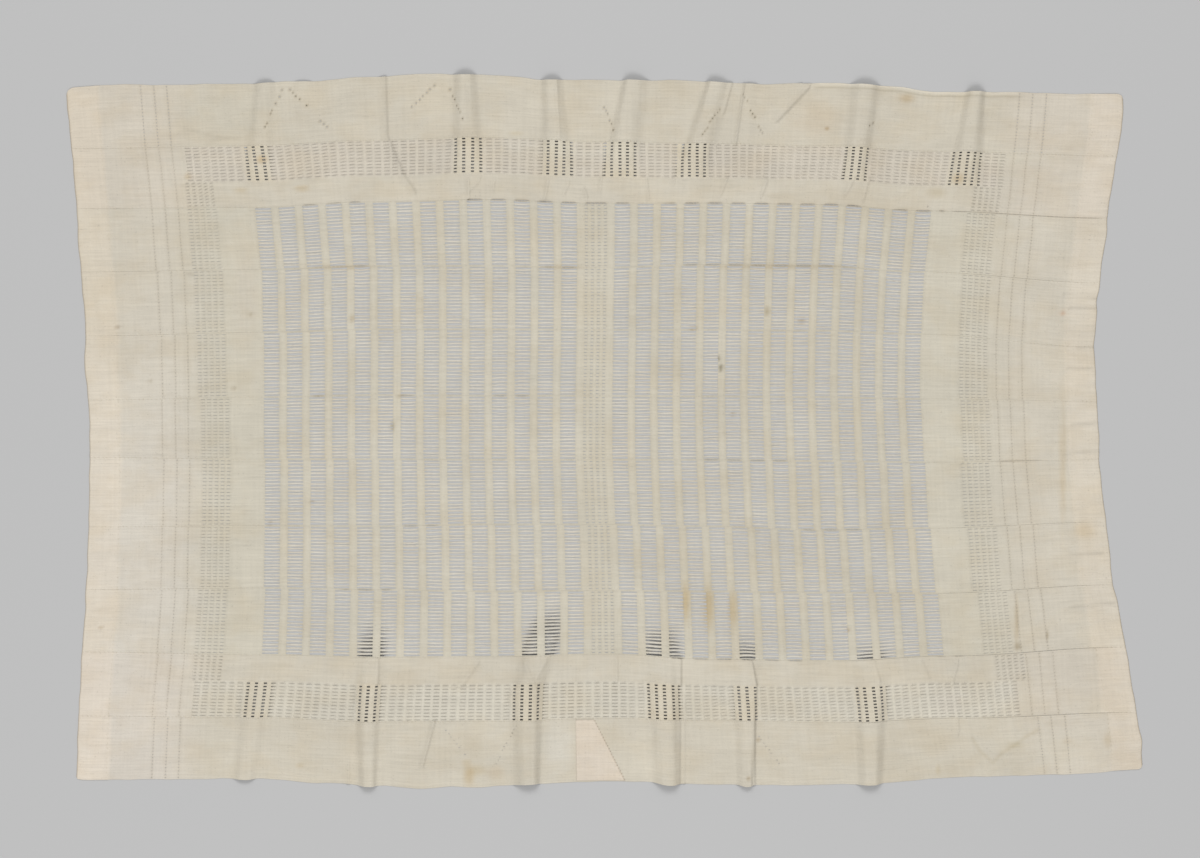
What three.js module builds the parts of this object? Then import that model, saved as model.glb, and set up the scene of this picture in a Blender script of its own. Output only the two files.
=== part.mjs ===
// A white openwork cloth of narrow hand-woven strips, sewn edge to edge, lying flat with fluted long edges.
// Millimetres. +X runs along the strips, +Y goes to the far edge, +Z is up.
// The origin lies under the middle of the cloth, on the surface that it rests on.
import * as THREE from "three";

// Thickness of the cloth
const PLAIN_THICK = 1.5;
const OPEN_THICK = 0.9;
const HEM_THICK = 2.4;
const PATCH_THICK = 1.2;

// Space left between two pieces that are sewn together
const SEAM_GAP = 0.3;

// Places along a strip, in woven millimetres from its left end
const HEM_WIDE = 52;
const END_PLAIN = 290;
const WINDOW_WIDE = 25.5;
const WINDOW_PITCH = 38;
const WINDOWS_A_SIDE = 14;
const CENTRE_PLAIN = 31;
const SIDE_OPEN = (WINDOWS_A_SIDE - 1) * WINDOW_PITCH + WINDOW_WIDE;
const MIDDLE = END_PLAIN + SIDE_OPEN + CENTRE_PLAIN;
const STRIP_LONG = 2 * MIDDLE;
const LAST_WINDOW = STRIP_LONG - END_PLAIN;
const THIRD = (MIDDLE - END_PLAIN) / 3;

// Woven places where the tables below give a seam's x and its y
const X_PLACES = [0, END_PLAIN, MIDDLE, LAST_WINDOW, STRIP_LONG];
const Y_PLACES = [
  0,
  END_PLAIN,
  END_PLAIN + THIRD,
  END_PLAIN + 2 * THIRD,
  MIDDLE,
  MIDDLE + THIRD,
  MIDDLE + 2 * THIRD,
  LAST_WINDOW,
  STRIP_LONG,
];

// One row for each long line of the cloth, from the far edge over the ten seams to the near edge
const SEAMS = [
  { x: [-882, -594, -13, 563, 848], y: [563, 569, 580, 583, 575, 571, 570, 553, 552] },
  { x: [-874, -586, -13, 550, 840], y: [462, 467, 476, 481, 474, 471, 467, 458, 450] },
  { x: [-864, -574, -15, 535, 822], y: [364, 366, 375, 379, 373, 373, 371, 360, 348] },
  { x: [-858, -563, -15, 524, 812], y: [260, 264, 270, 270, 267, 272, 270, 260, 242] },
  { x: [-848, -560, -16, 518, 802], y: [155, 161, 166, 166, 165, 165, 164, 158, 137] },
  { x: [-845, -559, -18, 517, 806], y: [50, 55, 58, 57, 57, 56, 55, 52, 48] },
  { x: [-843, -558, -18, 524, 809], y: [-44, -47, -47, -48, -48, -48, -50, -52, -48] },
  { x: [-845, -558, -12, 532, 822], y: [-158, -156, -157, -154, -154, -157, -163, -160, -150] },
  { x: [-848, -558, -6, 544, 833], y: [-261, -258, -261, -264, -262, -264, -266, -267, -253] },
  { x: [-856, -562, -3, 558, 854], y: [-363, -368, -372, -371, -367, -375, -378, -370, -355] },
  { x: [-862, -572, -3, 577, 872], y: [-468, -471, -478, -477, -472, -476, -479, -472, -462] },
  { x: [-866, -575, -2, 598, 882], y: [-573, -571, -581, -582, -576, -581, -583, -568, -555] },
];
const STRIPS = SEAMS.length - 1;

// The flutes that lift the two long edges. A flute runs from x "at" on its edge to x "inner", "reach" away
// from the edge, where it dies out. "left" and "right" are its half widths, and "rise" its height on the edge.
// A flute that bends has its x halfway as "half", and one that widens in its own way has a "spread".
const FLUTES = [
  { edge: "far", at: -558, inner: -570, reach: 195, left: 20, right: 20, rise: 7.5 },
  { edge: "far", at: -495, inner: -495, reach: 60, left: 18, right: 18, rise: 3 },
  { edge: "far", at: -228, inner: -224, reach: 195, left: 25, right: 20, rise: 10.5 },
  { edge: "far", at: -88, inner: -74, reach: 195, left: 20, right: 21, spread: 18, rise: 10.5 },
  { edge: "far", at: 42, inner: 16, reach: 195, left: 16, right: 36, rise: 12 },
  { edge: "far", at: 178, inner: 128, reach: 195, left: 15, right: 34, rise: 11.5 },
  { edge: "far", at: 238, inner: 218, reach: 150, left: 12, right: 18, rise: 3 },
  { edge: "far", at: 428, inner: 402, reach: 190, left: 30, right: 28, spread: -4, rise: 12 },
  { edge: "far", at: 606, inner: 580, reach: 190, left: 18, right: 21, spread: 22, rise: 13.5 },
  { edge: "near", at: -591, inner: -560, reach: 200, left: 22, right: 21, rise: 7 },
  { edge: "near", at: -386, inner: -376, reach: 280, left: 22, right: 14, rise: 11 },
  { edge: "near", at: -121, half: -125, inner: -85, reach: 310, left: 34, right: 17, rise: 13.5 },
  { edge: "near", at: 107, inner: 92, reach: 270, left: 33, right: 20, rise: 13.5 },
  { edge: "near", at: 236, inner: 232, reach: 260, left: 24, right: 8, rise: 8.5 },
  { edge: "near", at: 436, inner: 437, reach: 240, left: 26, right: 22, rise: 12.5 },
];
// Share of a flute's reach over which it keeps its full height, and share of its half width that is level
const FLUTE_FLAT = 0.5;
const FLUTE_TOP = 0.2;
// How much wider a flute's sides are than on the edge, where it dies out
const FLUTE_SPREAD = 14;

// The share of a strip, counted from its far side, that a row of eyelets fills on the second strips
const EYELETS_FAR = { from: 0, to: 0.58 };
const EYELETS_NEAR = { from: 0.42, to: 1 };
const EYELETS_END = 165;

// Width of the slope between the thick and the thin cloth
const STEP_WIDE = 1;
const STEP_SHARE = 0.04;

// Spacing of the points on the straight stretches of a seam, and across a flute
const BASE_PARTS = 9;
const FLUTE_STEP = 8;

// The repair patch on the near edge: its corners, from the far left one clockwise
const PATCH = [
  { x: -48, y: -474 },
  { x: -18, y: -474 },
  { x: 33, y: -572 },
  { x: -47, y: -572 },
];

const PLAIN = { color: 0xd0c8b6, roughness: 0.95, metalness: 0 };
const OPENWORK = { color: 0xc8c3b6, roughness: 0.95, metalness: 0 };
const MENDED = { color: 0xdccdbd, roughness: 0.95, metalness: 0 };

const { lerp, clamp, smoothstep } = THREE.MathUtils;

// The value at place p of a line through the given values, eased at each place or straight
function along(places, values, p, eased) {
  let i = 1;
  while (i < places.length - 1 && places[i] < p) i += 1;
  const share = clamp((p - places[i - 1]) / (places[i] - places[i - 1]), 0, 1);
  return lerp(values[i - 1], values[i], eased ? smoothstep(share, 0, 1) : share);
}

// Woven places that every seam bends at, so that two neighbours always share the same line
function basePlaces() {
  const places = [0, HEM_WIDE];
  for (let i = 0; i <= BASE_PARTS; i += 1) places.push(lerp(END_PLAIN, MIDDLE, i / BASE_PARTS));
  for (let i = 1; i <= BASE_PARTS; i += 1) places.push(lerp(MIDDLE, LAST_WINDOW, i / BASE_PARTS));
  return [...places, STRIP_LONG - HEM_WIDE, STRIP_LONG];
}

const BASE = basePlaces();
const SEAM_LINES = SEAMS.map((seam) => BASE.map((p) => along(Y_PLACES, seam.y, p, true)));

const seamX = (k, p) => along(X_PLACES, SEAMS[k].x, p, false);
const seamY = (k, p) => along(BASE, SEAM_LINES[k], p, false);

// A point of strip i at woven place p and share v across it, from its far side to its near side
function place(i, p, v) {
  const farGap = i === 0 ? 0 : SEAM_GAP / 2;
  const nearGap = i === STRIPS - 1 ? 0 : SEAM_GAP / 2;
  const x = lerp(seamX(i, p), seamX(i + 1, p), v);
  const y = lerp(seamY(i, p) - farGap, seamY(i + 1, p) + nearGap, v);
  return { x, y };
}

// Distance of a point from the long edge that a flute lifts
function fromEdge(flute, p, y) {
  return flute.edge === "far" ? seamY(0, p) - y : y - seamY(STRIPS, p);
}

// The middle of a flute and its half widths at a share of its reach
function fluteAt(flute, share) {
  const even = (flute.left + flute.right) / 2 + (flute.spread ?? FLUTE_SPREAD);
  const half = flute.half ?? (flute.at + flute.inner) / 2;
  return {
    middle: share < 0.5 ? lerp(flute.at, half, 2 * share) : lerp(half, flute.inner, 2 * share - 1),
    left: lerp(flute.left, even, share),
    right: lerp(flute.right, even, share),
  };
}

// Height of the cloth's underside
function lift(p, x, y) {
  let height = 0;
  for (const flute of FLUTES) {
    const share = fromEdge(flute, p, y) / flute.reach;
    if (share >= 1) continue;
    const { middle, left, right } = fluteAt(flute, share);
    const across = x < middle ? (middle - x) / left : (x - middle) / right;
    if (across >= 1) continue;
    const down = clamp((across - FLUTE_TOP) / (1 - FLUTE_TOP), 0, 1);
    const fade = 1 - smoothstep(share, FLUTE_FLAT, 1);
    height += flute.rise * fade * (0.5 + 0.5 * Math.cos(Math.PI * down));
  }
  return height;
}

const isOpenwork = (i) => i >= 2 && i <= STRIPS - 3;
const eyeletBand = (i) => ({ 1: EYELETS_FAR, [STRIPS - 2]: EYELETS_NEAR })[i];

// The first and last woven place of every window of an openwork strip
function windows() {
  const list = [];
  for (let n = 0; n < WINDOWS_A_SIDE; n += 1) {
    const from = END_PLAIN + n * WINDOW_PITCH;
    list.push({ from, to: from + WINDOW_WIDE });
    list.push({ from: STRIP_LONG - from - WINDOW_WIDE, to: STRIP_LONG - from });
  }
  return list;
}

// How far a value is inside a span, from 0 at its ends to 1 past the slope
function inside(value, span, slope) {
  return clamp(Math.min(value - span.from, span.to - value) / slope, 0, 1);
}

// Thickness of strip i at woven place p and share v across it
function thickness(i, p, v) {
  const hem = clamp((HEM_WIDE + STEP_WIDE - Math.min(p, STRIP_LONG - p)) / STEP_WIDE, 0, 1);
  let open = 0;
  if (isOpenwork(i)) {
    open = Math.max(...windows().map((span) => inside(p, span, STEP_WIDE)));
  }
  const band = eyeletBand(i);
  if (band) {
    const ends = { from: EYELETS_END, to: STRIP_LONG - EYELETS_END };
    const rows = { from: band.from || -1, to: band.to < 1 ? band.to : 2 };
    open = Math.min(inside(p, ends, STEP_WIDE), inside(v, rows, STEP_SHARE));
  }
  return lerp(lerp(PLAIN_THICK, OPEN_THICK, open), HEM_THICK, hem);
}

// Woven places across the flutes that reach strip i
function flutePlaces(i) {
  const list = [];
  for (const flute of FLUTES) {
    const middle = along(SEAMS[i].x, X_PLACES, flute.at, false);
    const { y: farY } = place(i, middle, 0);
    const { y: nearY } = place(i, middle, 1);
    const shares = [farY, nearY].map((y) => clamp(fromEdge(flute, middle, y) / flute.reach, 0, 1));
    if (Math.min(...shares) >= 1) continue;
    const ends = shares.map((share) => fluteAt(flute, share));
    const firstX = Math.min(...ends.map(({ middle: x, left }) => x - left));
    const lastX = Math.max(...ends.map(({ middle: x, right }) => x + right));
    const halfway = SEAMS[i].x.map((x, n) => (x + SEAMS[i + 1].x[n]) / 2);
    const from = along(halfway, X_PLACES, firstX, false);
    const to = along(halfway, X_PLACES, lastX, false);
    const steps = Math.ceil((to - from) / FLUTE_STEP);
    for (let n = 0; n <= steps; n += 1) list.push(lerp(from, to, n / steps));
  }
  return list;
}

// Woven places on both sides of each slope in thickness
function stepPlaces(i) {
  const list = [HEM_WIDE + STEP_WIDE, STRIP_LONG - HEM_WIDE - STEP_WIDE];
  const spans = isOpenwork(i) ? windows() : [];
  if (eyeletBand(i)) spans.push({ from: EYELETS_END, to: STRIP_LONG - EYELETS_END });
  for (const { from, to } of spans) list.push(from, from + STEP_WIDE, to - STEP_WIDE, to);
  return list;
}

// Sorted places, without those that nearly meet another one
function sorted(fixed, more) {
  const clear = more.filter((p) => fixed.every((q) => Math.abs(p - q) > STEP_WIDE / 2));
  return [...fixed, ...clear].sort((a, b) => a - b);
}

// Shares across strip i at which its surface bends
function rowShares(i) {
  const band = eyeletBand(i);
  if (band && band.from === 0) return [0, band.to - STEP_SHARE, band.to, 1];
  if (band) return [0, band.from, band.from + STEP_SHARE, 1];
  return flutePlaces(i).length ? [0, 0.5, 1] : [0, 1];
}

// Closed sheet between an upper and a lower face. Each face is a list of rows of points, from far to near,
// and both have the same number of rows. The long sides may have different numbers of points.
function closedSheet(upper, lower) {
  const positions = [];
  const add = (a, b, c) => {
    for (const point of [a, b, c]) positions.push(point.x, point.y, point.z);
  };
  const face = (rows, up) => {
    for (let r = 0; r < rows.length - 1; r += 1) {
      for (let c = 0; c < rows[r].length - 1; c += 1) {
        const [a, b] = [rows[r][c], rows[r][c + 1]];
        const [d, e] = [rows[r + 1][c], rows[r + 1][c + 1]];
        if (up) {
          add(a, d, e);
          add(a, e, b);
        } else {
          add(a, e, d);
          add(a, b, e);
        }
      }
    }
  };
  const side = (top, under, turned) => {
    let t = 0;
    let u = 0;
    while (t < top.length - 1 || u < under.length - 1) {
      const topNext = t < top.length - 1 && (u === under.length - 1 || top[t + 1].p <= under[u + 1].p);
      const third = topNext ? top[t + 1] : under[u + 1];
      if (turned) add(top[t], third, under[u]);
      else add(top[t], under[u], third);
      if (topNext) t += 1;
      else u += 1;
    }
  };
  const end = (c, turned) => {
    const pick = (rows) => rows.map((row, r) => ({ ...row.at(c), p: r }));
    side(pick(upper), pick(lower), turned);
  };
  face(upper, true);
  face(lower, false);
  side(upper[0], lower[0], true);
  side(upper.at(-1), lower.at(-1), false);
  end(0, false);
  end(-1, true);
  const geometry = new THREE.BufferGeometry();
  geometry.setAttribute("position", new THREE.Float32BufferAttribute(positions, 3));
  geometry.computeVertexNormals();
  return geometry;
}

function stripMesh(i) {
  const folds = flutePlaces(i);
  const steps = stepPlaces(i);
  const upperPlaces = sorted(sorted(BASE, steps), folds);
  const lowerPlaces = folds.length ? upperPlaces : BASE;
  const rows = rowShares(i);
  const point = (p, v, thick) => {
    const { x, y } = place(i, p, v);
    return { p, x, y, z: lift(p, x, y) + thick };
  };
  const upper = rows.map((v) => upperPlaces.map((p) => point(p, v, thickness(i, p, v))));
  const lower = rows.map((v) => lowerPlaces.map((p) => point(p, v, 0)));
  const look = isOpenwork(i) ? OPENWORK : PLAIN;
  const mesh = new THREE.Mesh(closedSheet(upper, lower), new THREE.MeshStandardMaterial(look));
  mesh.name = `strip_${String(i + 1).padStart(2, "0")}`;
  return mesh;
}

function patchMesh() {
  const outline = new THREE.Shape(PATCH.map(({ x, y }) => new THREE.Vector2(x, y)));
  const geometry = new THREE.ExtrudeGeometry(outline, { depth: PATCH_THICK, bevelEnabled: false });
  const mesh = new THREE.Mesh(geometry, new THREE.MeshStandardMaterial(MENDED));
  mesh.name = "patch";
  mesh.position.z = PLAIN_THICK + SEAM_GAP;
  return mesh;
}

const cloth = new THREE.Group();
for (let i = 0; i < STRIPS; i += 1) cloth.add(stripMesh(i));
cloth.add(patchMesh());

export default cloth;
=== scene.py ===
"""A white openwork aso oke cloth: eleven woven strips sewn edge to edge and laid flat on a pale floor."""
import math

import bpy
import numpy as np
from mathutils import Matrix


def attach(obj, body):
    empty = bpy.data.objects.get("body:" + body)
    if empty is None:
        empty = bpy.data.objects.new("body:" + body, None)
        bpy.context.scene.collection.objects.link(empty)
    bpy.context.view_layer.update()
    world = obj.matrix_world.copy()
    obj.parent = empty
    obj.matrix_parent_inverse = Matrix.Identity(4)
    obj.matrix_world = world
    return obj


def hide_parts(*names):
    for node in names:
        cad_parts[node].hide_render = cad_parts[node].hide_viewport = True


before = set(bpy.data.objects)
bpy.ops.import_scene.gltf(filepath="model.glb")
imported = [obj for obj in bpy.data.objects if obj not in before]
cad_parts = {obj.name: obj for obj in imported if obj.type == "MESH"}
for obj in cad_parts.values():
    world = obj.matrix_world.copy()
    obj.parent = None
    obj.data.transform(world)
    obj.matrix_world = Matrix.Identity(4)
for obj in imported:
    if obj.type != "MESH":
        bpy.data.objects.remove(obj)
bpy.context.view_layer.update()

# Sizes of the weave in millimetres, as in the part's source
MM = 0.001
HEM_WIDE = 52.0
END_PLAIN = 290.0
WINDOW_WIDE = 25.5
WINDOW_PITCH = 38.0
WINDOWS_A_SIDE = 14
CENTRE_PLAIN = 31.0
SIDE_OPEN = (WINDOWS_A_SIDE - 1) * WINDOW_PITCH + WINDOW_WIDE
MIDDLE = END_PLAIN + SIDE_OPEN + CENTRE_PLAIN
STRIP_LONG = 2 * MIDDLE
STRIP_WIDE = 105.0
LAST_WINDOW = STRIP_LONG - END_PLAIN
SEAM_GAP = 0.02

# Rows of slots across a strip, and how far the threads between them stray, in millimetres
SLOT_ROWS = 19
SLOT_PITCH = 5.5
SLOT_HIGH = 2.5
SELVEDGE = 0.6
FIRST_SLOT = 2
LINES_ACROSS = 2 * SLOT_ROWS + 2 * FIRST_SLOT
THREAD_STRAY = 0.35
THREAD_STRAY_MOST = 0.75
THREAD_UNEVEN = 0.35

# How far each side of a slot is drawn in outside the windows: flat, raised by a flute, and in the middle
FLAT_PINCH = 0.94
FLAT_PINCHES = {0: 0.5, 1: 1.06, 9: 1.08, 10: 0.75}
RAISED_PINCH = 0.05
RAISED_FULL = 2.4
CENTRE_PINCH = 0.68
PINCH_STRAY = 0.2
PINCH_CLOSE = 2
PINCH_SHIFT = 300
TIGHT_STRAY = 0.5

# Lines and bands of eyelets at both ends, and the eyelets in the middle
LINE_PLACES = (121.0, 143.0, 164.0)
LINE_WIDE = 1.4
LINE_BESIDE = 2.4
END_EYELETS = 5
END_EYELET_PITCH = 10.0
END_EYELET_WIDE = 5.8
END_BAND_MIDDLE = 207.0
LEFT_BAND_SHIFTS = {1: -4.0, 2: -4.0, 3: -4.0, 4: -4.0, 5: 2.0, 6: 2.0, 7: 2.0, 8: -3.0, 9: -4.0}
RIGHT_BAND_SHIFTS = {1: 5.0, 3: 4.5, 4: 5.0, 5: 6.0, 7: 2.0, 8: 6.0, 9: 16.0}
CENTRE_EYELETS = 4
CENTRE_EYELET_PITCH = 10.4
CENTRE_EYELET_WIDE = 4.4

# The long bands of eyelets: pitches left and right, open shares where flat and raised, rows of slots
EYELET_PITCHES = {1: (13.7, 12.4), 9: (13.7, 13.2)}
EYELET_PITCH_AT = (MIDDLE - 250, MIDDLE + 150)
EYELET_STRAY = 0.6
EYELET_FLAT_SHARE = 0.7
EYELET_RAISED_SHARE = 0.37
EYELETS_FROM = 183.0
EYELET_BANDS = {1: (0, 11), 9: (8, SLOT_ROWS)}
REST_ROWS = {1: (11, SLOT_ROWS), 9: (0, 8)}
ALL_ROWS = (0, SLOT_ROWS)
NO_ROWS = (0, 0)

# Thicknesses in millimetres
PLAIN_THICK = 0.45
BAR_THICK = 0.5
RUNG_THICK = 0.45
HEM_FOLD = 0.7
HEM_RISE = 2.0
END_THIN = 0.7
END_THIN_REACH = 1.5
ROLL = 0.02
PATCH_THICK = 0.4

# Mesh steps along a strip, and how close lines may come, in millimetres
FINE_STEP = 3.8
WINDOW_STEP = 6.5
CREASE_STEP = 1.6
CREASE_ROOM = 7.0
STEP_SLACK = 0.01
SMALL_STAIN = 7.0
LINE_CLEAR = 0.5
LINE_DIGITS = 3
HEM_LINE_PAST = 4.0
RUN_STEPS = 160
WINDOW_LEAST = 20.0
WINDOW_SKIRT = 1.0
RUNG_CLEAR = 0.1
DOT_CLEAR = 0.01

# Places along a strip where the seams' x and y are listed
THIRD = (MIDDLE - END_PLAIN) / 3
X_PLACES = np.array([0, END_PLAIN, MIDDLE, LAST_WINDOW, STRIP_LONG])
Y_PLACES = np.array([
    0, END_PLAIN, END_PLAIN + THIRD, END_PLAIN + 2 * THIRD, MIDDLE,
    MIDDLE + THIRD, MIDDLE + 2 * THIRD, LAST_WINDOW, STRIP_LONG,
])

# The far edge, the ten seams and the near edge: x and y at those places
SEAMS = [
    ((-882, -594, -13, 563, 848), (563, 569, 580, 583, 575, 571, 570, 553, 552)),
    ((-874, -586, -13, 550, 840), (462, 467, 476, 481, 474, 471, 467, 458, 450)),
    ((-864, -574, -15, 535, 822), (364, 366, 375, 379, 373, 373, 371, 360, 348)),
    ((-858, -563, -15, 524, 812), (260, 264, 270, 270, 267, 272, 270, 260, 242)),
    ((-848, -560, -16, 518, 802), (155, 161, 166, 166, 165, 165, 164, 158, 137)),
    ((-845, -559, -18, 517, 806), (50, 55, 58, 57, 57, 56, 55, 52, 48)),
    ((-843, -558, -18, 524, 809), (-44, -47, -47, -48, -48, -48, -50, -52, -48)),
    ((-845, -558, -12, 532, 822), (-158, -156, -157, -154, -154, -157, -163, -160, -150)),
    ((-848, -558, -6, 544, 833), (-261, -258, -261, -264, -262, -264, -266, -267, -253)),
    ((-856, -562, -3, 558, 854), (-363, -368, -372, -371, -367, -375, -378, -370, -355)),
    ((-862, -572, -3, 577, 872), (-468, -471, -478, -477, -472, -476, -479, -472, -462)),
    ((-866, -575, -2, 598, 882), (-573, -571, -581, -582, -576, -581, -583, -568, -555)),
]
SEAM_X, SEAM_Y = zip(*SEAMS)
STRIPS = len(SEAMS) - 1
OPENWORK = range(2, 9)

# How far the weave has slipped along each seam, as half of the step between the two strips
SLIP_PLACES = np.array([0, HEM_WIDE, 420, 700, 980, 1260, STRIP_LONG - HEM_WIDE, STRIP_LONG])
SLIPS = {
    3: (0, 1, 1, 0.4, -1.2, -0.2, -1, 0),
    4: (0, 1, 1, 0.2, 0.2, -0.6, 0, 0),
    5: (0, -1, 0, 0.2, -0.2, 0.4, 1, 0),
    6: (0, 1, 1.2, 0.4, 0.2, 1.2, 0, 0),
    7: (0, -1, 0.6, 1, 1.8, 2, 1, 0),
    8: (0, 1, 1.2, 2, 1.4, 1.8, 2, 0),
    9: (0, 1, 0, 0, 0, 2, 4, 0),
    10: (0, 2.5, 0, 0, 0, 2, 5.5, 0),
}

# Flutes from the long edges: x at the edge, half way and inside, reach, left and right widths, spread, rise
FLUTES_FAR = [
    (-558, -564, -570, 195, 20, 20, 14, 7.5),
    (-495, -495, -495, 60, 18, 18, 14, 3),
    (-228, -226, -224, 205, 25, 20, 14, 10.5),
    (-88, -81, -74, 205, 20, 21, 18, 10.5),
    (42, 29, 16, 205, 16, 36, 14, 12),
    (178, 153, 128, 205, 15, 34, 14, 11.5),
    (238, 228, 218, 150, 12, 18, 14, 3),
    (428, 415, 402, 205, 30, 28, -4, 12),
    (606, 593, 580, 205, 18, 21, 22, 13.5),
]
FLUTES_NEAR = [
    (-591, -575.5, -560, 200, 22, 21, 14, 7),
    (-386, -387, -376, 280, 22, 14, 14, 11),
    (-121, -125, -85, 300, 34, 17, 14, 13.5),
    (107, 99.5, 92, 270, 33, 20, 14, 13.5),
    (236, 234, 232, 260, 24, 8, 14, 8.5),
    (436, 436.5, 437, 240, 26, 22, 14, 12.5),
]
FLUTE_FLAT = 0.5
FLUTE_TOP = 0.2

# Narrow creases: the points they run through, half width and height, and the strength of painted shade
# along their steep side
CREASE_STEEP = 0.75
CREASE_LEAN = 1.9
CREASE_SHADE_SHARE = 0.8
CREASES = [
    ([(-361, 583), (-358, 483), (-331, 419), (-312, 391)], 3.6, 3.4, 0.11),
    ([(208, 570), (195, 522)], 2.2, 2.8, 0),
    ([(229, 570), (215, 470)], 1.8, 2.2, 0.14),
    ([(333, 562), (283, 509)], 3.2, 4.2, 0.1),
    ([(323, 568), (279, 514)], 3.0, 1.8, 0),
    ([(-79, 572), (-74, 480)], 2.2, 1.8, 0),
    ([(-280, -478), (-299, -550)], 2.8, 3.6, 0.06),
    ([(130, -440), (130, -578)], 2.6, 1.8, 0),
    ([(241, -381), (248, -416), (245, -475), (245, -581)], 2.2, 3.0, 0.13),
    ([(-208, -381), (-235, -419)], 3.6, 2.6, 0.05),
    ([(20, -375), (20, -412)], 2.4, 2.0, 0),
    ([(-372, -375), (-372, -412)], 2.4, 2.0, 0),
    ([(521, -381), (531, -406)], 2.4, 2.2, 0),
    ([(579, -381), (569, -416)], 2.4, 2.2, 0),
    ([(579, -466), (579, -498)], 2.4, 2.0, 0),
    ([(-420, -540), (-420, -580)], 2.4, 2.0, 0),
    ([(-48, -425), (-48, -472)], 8.0, 1.3, 0),
    ([(14, -425), (14, -472)], 10.0, 2.0, 0),
    ([(-271, -425), (-271, -472)], 12.0, 1.1, 0),
    ([(-223, 411), (-223, 380)], 2.2, 2.7, 0),
    ([(-93, 409), (-98, 380)], 2.2, 2.6, 0),
    ([(-59, 406), (-66, 389)], 2.2, 2.4, 0),
    ([(-33, 396), (-29, 380)], 2.0, 2.8, 0),
    ([(-5, 416), (-7, 393)], 2.2, 2.0, 0),
    ([(69, 409), (72, 380)], 2.2, 2.4, 0),
    ([(116, 419), (112, 403)], 2.2, 2.2, 0),
    ([(200, 411), (189, 386)], 2.2, 2.5, 0),
    ([(266, 409), (256, 383)], 2.2, 2.5, 0),
    ([(-132, -378), (-118, -410), (-112, -425)], 3.0, 2.4, 0),
    ([(-96, -378), (-116, -412)], 3.0, 2.0, 0),
    ([(124, -376), (124, -414)], 2.6, 2.6, 0.08),
    ([(123, -476), (122, -577)], 2.0, 0.8, 0.1),
    ([(440, -378), (450, -410)], 2.6, 1.8, 0),
    ([(-205, 411), (-219, 395)], 2.2, 2.2, 0),
    ([(-181, 409), (-184, 386)], 2.2, 2.0, 0),
    ([(408, 412), (394, 386)], 2.4, 2.4, 0),
    ([(432, 410), (424, 378)], 2.4, 2.4, 0),
    ([(512, 402), (480, 380)], 2.6, 1.8, 0),
    ([(-691, 494), (-640, 481), (-600, 478)], 3.0, 1.2, 0.08),
    ([(-841, 1), (-784, 0)], 2.6, 0.9, 0.08),
    ([(-843, -40), (-722, -42)], 2.6, 1.0, 0.08),
    ([(-843, -201), (-807, -201)], 2.4, 0.8, 0.08),
    ([(753, 222), (805, 216)], 2.6, 1.0, 0.12),
    ([(762, 201), (805, 199)], 2.4, 0.8, 0.12),
    ([(774, 135), (799, 135)], 2.4, 0.8, 0.12),
    ([(758, 101), (799, 101)], 2.4, 0.9, 0.12),
    ([(764, 7), (805, 11)], 2.6, 1.0, 0.12),
    ([(751, -40), (807, -34)], 2.6, 1.1, 0.12),
    ([(760, -202), (812, -202)], 2.4, 0.9, 0.12),
    ([(764, -291), (833, -284)], 2.8, 1.1, 0.12),
]

# Slow waves of the cloth as it lies, and shorter ripples: heights, lengths and sway
SWELL_HIGH = 0.04
SWELL_LEVEL = 1.6
SWELL_LONG_X, SWELL_LONG_Y = 37, 29
SWELL_BEND_X, SWELL_BEND_Y = 83, 61
SWELL_SWAY_X, SWELL_SWAY_Y = 1.3, 1.1
RIPPLE_SHARE = 0.6
RIPPLE_LONG_X, RIPPLE_LONG_Y = 19, 17
RIPPLE_SLANT_X, RIPPLE_SLANT_Y = 71, 47

# Small waves for uneven threads and edges, as height, length and start, and how far the edges follow
UNEVEN_WAVES = [(0.7, 23, 1), (0.55, 9.7, 0), (0.5, 41, 2), (0.3, 5.3, 0)]
EDGE_STRAY = 0.5
EDGE_IN = 0.3
EDGE_SHIFT = 700
END_STRAY = 0.6
END_IN = 0.3
END_STRAY_REACH = 15

# Places where a seam has opened over the windows: seam, x from and to, how wide and how dark its edges are
OPEN_SEAMS = [
    (2, -510, -400, 1.7, 1.1),
    (2, -240, 560, 1.2, 1.0),
    (3, -415, -389, 1.4, 0.5),
    (3, -108, -49, 1.5, 0.5),
    (3, 126, 410, 1.3, 0.5),
    (5, -376, -312, 1.3, 0.5),
    (5, -184, -123, 1.3, 0.5),
    (6, 149, 300, 1.3, 0.5),
    (7, -338, -271, 1.4, 0.5),
    (7, 323, 423, 1.4, 0.5),
    (8, -435, -349, 1.3, 0.5),
    (9, 100, 330, 1.2, 0.5),
    (2, 565, 815, 0.4, 0.3),
    (2, -862, -790, 0.4, 0.3),
    (9, 540, 592, 0.5, 0.4),
    (6, 640, 720, 0.3, 0.35),
]
WEAR_WAVES = [(0.6, 29, 1), (0.5, 71, 2)]
WEAR_LEVEL = 1.1
WEAR_OVER_WINDOWS = 0.6
WEAR_EASE = 12

# Colours as shares of the cloth's own red, green and blue: plain ends, hems, and a painted shadow line at
# the fold of their ends
OUTER_ZONE = 230.0
OUTER_EASE = 110
OUTER_LEFT_FAR = np.array([1.03, 1.02, 1.035])
OUTER_LEFT_NEAR = np.array([1.085, 1.083, 1.138])
OUTER_LEFT_FROM = 260.0
OUTER_LEFT_TO = -120.0
OUTER_RIGHT = np.array([1.026, 1.015, 1.03])
HEM_LEFT = np.array([1.08, 1.055, 1.03])
HEM_RIGHT = np.array([1.075, 1.06, 1.055])
HEM_TONE_PAST = 3
HEM_TONE_EASE = 7
FOLD_SHADOW_TONE = (0.70, 0.67, 0.62)
FOLD_WIDE = 1.3
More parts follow.
